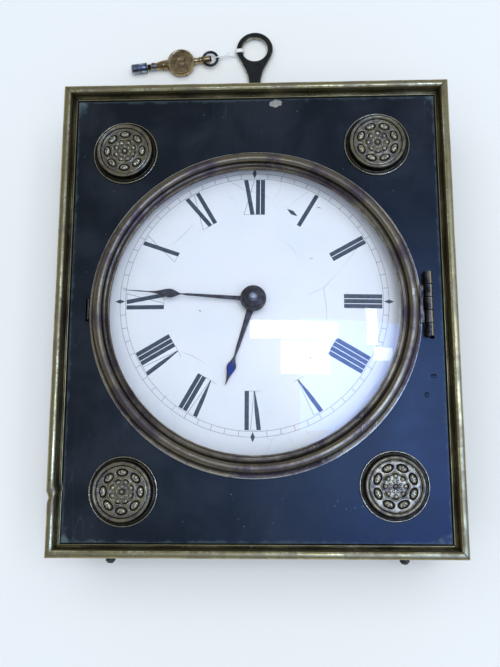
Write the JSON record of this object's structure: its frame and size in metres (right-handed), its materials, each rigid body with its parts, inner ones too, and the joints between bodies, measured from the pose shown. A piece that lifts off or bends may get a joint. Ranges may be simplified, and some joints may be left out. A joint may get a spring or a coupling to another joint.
{
  "type": "sedan clock",
  "caption": "Small hanging sedan clock: japanned wooden case with brass edging and rosettes, domed glass in a hinged bezel, verge movement, watch key on a thread.",
  "frame": {"origin": "centre of the flat back of the case, which lies on the table", "axes": "+Z out of the dial, +Y towards XII and the hanging loop, +X towards III"},
  "size_m": [0.15, 0.2282, 0.0455],
  "materials": {
    "case_wood": "dark stained wood",
    "japanned_front": "black japanned, worn, low gloss",
    "aged_brass": "aged brass, olive-brown",
    "dark_brass": "dark patina",
    "bright_brass": "worn brass",
    "gilt_brass": "gilt",
    "steel": "polished steel",
    "blued_steel": "blued steel",
    "enamel": "white enamel on copper",
    "glass": "clear",
    "thread": "cotton"
  },
  "bodies": {
    "case": {"carcass": "case_wood", "front_panel": "japanned_front", "back_board": "case_wood", "edging_top": "aged_brass", "edging_bottom": "aged_brass", "edging_left": "aged_brass", "edging_right": "aged_brass", "rosette_top_left": "aged_brass", "rosette_top_right": "aged_brass", "rosette_bottom_left": "aged_brass", "rosette_bottom_right": "aged_brass", "hanging_loop": "dark_brass", "loop_screw": "dark_brass", "back_screw_1": "bright_brass", "back_screw_2": "bright_brass", "back_screw_3": "bright_brass", "back_screw_4": "bright_brass", "stud_left": "dark_brass", "stud_right": "dark_brass", "cover_hinge_leaf": "aged_brass", "cover_hinge_pin": "steel", "case_hinge_leaf": "aged_brass", "bezel_hinge_pin": "steel", "dial": "enamel", "false_plate": "gilt_brass", "pillar_plate": "gilt_brass", "top_plate": "gilt_brass", "pillar_1": "gilt_brass", "pillar_2": "gilt_brass", "pillar_3": "gilt_brass", "pillar_4": "gilt_brass", "potence": "gilt_brass", "balance_cock": "gilt_brass", "barrel_arbor": "steel", "fusee_chain": "steel", "hairspring": "blued_steel"},
    "bezel_door": {"bezel": "aged_brass", "glass": "glass", "glass_ring": "aged_brass", "bezel_hinge_leaf": "aged_brass"},
    "catch": {"bezel_catch": "bright_brass"},
    "cover": {"back_cover": "aged_brass"},
    "minute_train": {"minute_hand": "blued_steel", "hand_collet": "steel", "cannon_pinion": "steel", "centre_wheel": "gilt_brass"},
    "hour_train": {"hour_hand": "blued_steel", "hour_wheel": "gilt_brass"},
    "minute_wheel_body": {"minute_wheel": "gilt_brass"},
    "fusee_body": {"fusee": "gilt_brass"},
    "barrel_body": {"barrel": "gilt_brass"},
    "third_wheel_body": {"third_wheel": "gilt_brass"},
    "contrate_wheel_body": {"contrate_wheel": "gilt_brass"},
    "crown_wheel_body": {"crown_wheel": "gilt_brass"},
    "balance": {"balance_wheel": "gilt_brass"},
    "key": {"key_pipe": "steel", "key_body": "bright_brass", "key_ring": "dark_brass", "key_thread": "thread"}
  },
  "joints": [
    {"name": "bezel_hinge", "type": "hinge", "parent": "case", "child": "bezel_door", "pos_m": [0.0645, 0.0015, 0.037], "axis": [0, 1, 0], "range_deg": [0, 110]},
    {"name": "catch_press", "type": "slide", "parent": "case", "child": "catch", "axis": [-1, 0, 0], "range_m": [0, 0.0005], "stiffness_N_per_m": 1500},
    {"name": "cover_hinge", "type": "hinge", "parent": "case", "child": "cover", "pos_m": [-0.0345, 0, 0.0015], "axis": [0, 1, 0], "range_deg": [0, 110]},
    {"name": "contrate_wheel_turn", "type": "hinge", "parent": "case", "child": "contrate_wheel_body", "pos_m": [-0.00285, 0.01505, 0.01831], "axis": [0, 0, -1], "continuous": true},
    {"name": "minute_turn", "type": "hinge", "parent": "case", "child": "minute_train", "pos_m": [-0.0005, 0.004, 0.03551], "axis": [0, 0, -1], "continuous": true},
    {"name": "hour_turn", "type": "hinge", "parent": "case", "child": "hour_train", "pos_m": [-0.0005, 0.004, 0.03401], "axis": [0, 0, -1], "continuous": true},
    {"name": "minute_wheel_turn", "type": "hinge", "parent": "case", "child": "minute_wheel_body", "pos_m": [0.0089, 0.00742, 0.02496], "axis": [0, 0, -1], "continuous": true},
    {"name": "fusee_turn", "type": "hinge", "parent": "case", "child": "fusee_body", "pos_m": [0.0058, -0.00691, 0.01831], "axis": [0, 0, -1], "continuous": true},
    {"name": "barrel_turn", "type": "hinge", "parent": "case", "child": "barrel_body", "pos_m": [-0.01462, -0.00415, 0.01831], "axis": [0, 0, -1], "continuous": true},
    {"name": "third_wheel_turn", "type": "hinge", "parent": "case", "child": "third_wheel_body", "pos_m": [0.0037, 0.01127, 0.01831], "axis": [0, 0, -1], "continuous": true},
    {"name": "crown_wheel_turn", "type": "hinge", "parent": "case", "child": "crown_wheel_body", "pos_m": [-0.01565, 0.0128, 0.01831], "axis": [0.9848, 0.1736, 0], "continuous": true},
    {"name": "balance_swing", "type": "hinge", "parent": "case", "child": "balance", "pos_m": [-0.01565, 0.0128, 0.01831], "axis": [0, 0, -1], "range_deg": [-50, 50], "stiffness_Nm_per_rad": 0.00001},
    {"name": "key_swing", "type": "hinge", "parent": "case", "child": "key", "pos_m": [-0.001, 0.1256, 0.002], "axis": [0, 0, 1], "range_deg": [-80, 15]}
  ],
  "couplings": [
    {"joint": "minute_turn", "follows": "contrate_wheel_turn", "ratio": 0.013889},
    {"joint": "hour_turn", "follows": "contrate_wheel_turn", "ratio": 0.0011574},
    {"joint": "minute_wheel_turn", "follows": "contrate_wheel_turn", "ratio": -0.0046296},
    {"joint": "fusee_turn", "follows": "contrate_wheel_turn", "ratio": -0.0034722},
    {"joint": "barrel_turn", "follows": "contrate_wheel_turn", "ratio": -0.0028389},
    {"joint": "third_wheel_turn", "follows": "contrate_wheel_turn", "ratio": -0.125},
    {"joint": "crown_wheel_turn", "follows": "contrate_wheel_turn", "ratio": 8}
  ]
}
